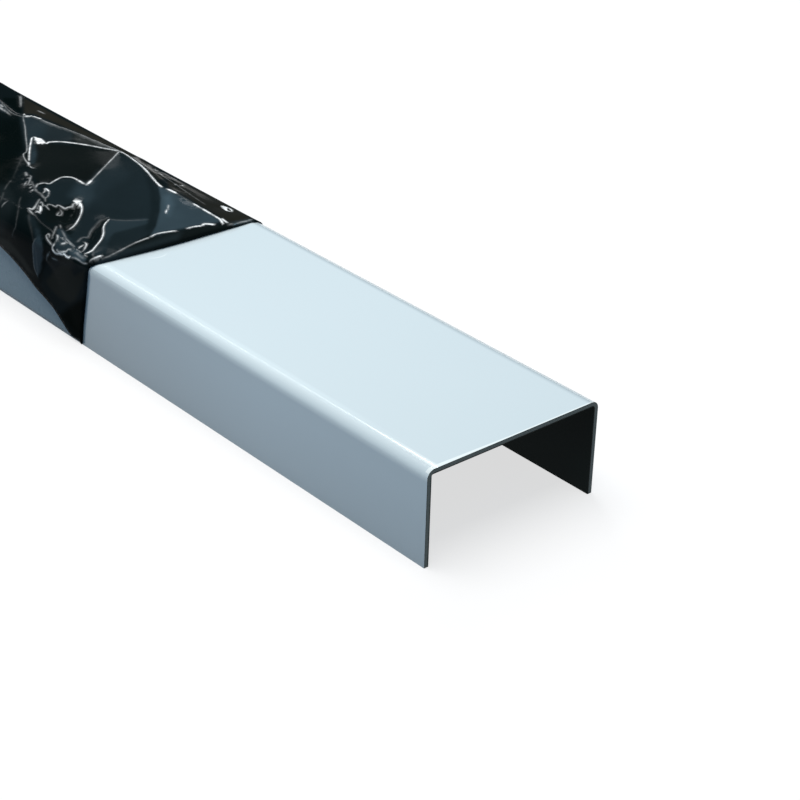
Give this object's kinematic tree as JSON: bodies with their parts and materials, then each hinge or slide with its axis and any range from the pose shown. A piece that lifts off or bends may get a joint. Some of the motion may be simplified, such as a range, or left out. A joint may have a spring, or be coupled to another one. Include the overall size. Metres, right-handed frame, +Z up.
{
  "type": "metal channel section",
  "caption": "Straight U channel folded from thin white-coated sheet, with its protective film partly peeled off one end and folded back over the web.",
  "frame": {"origin": "on the floor, below the middle of the channel's length and width", "axes": "+X along the channel towards the end that the film is peeled from, +Y across the web, +Z up from the leg edges to the web"},
  "size_m": [1, 0.0676, 0.0381],
  "materials": {
    "white_coat": "gloss",
    "black_film": "gloss"
  },
  "bodies": {
    "root": {"channel_section": "white_coat", "protective_film": "black_film"}
  },
  "joints": []
}
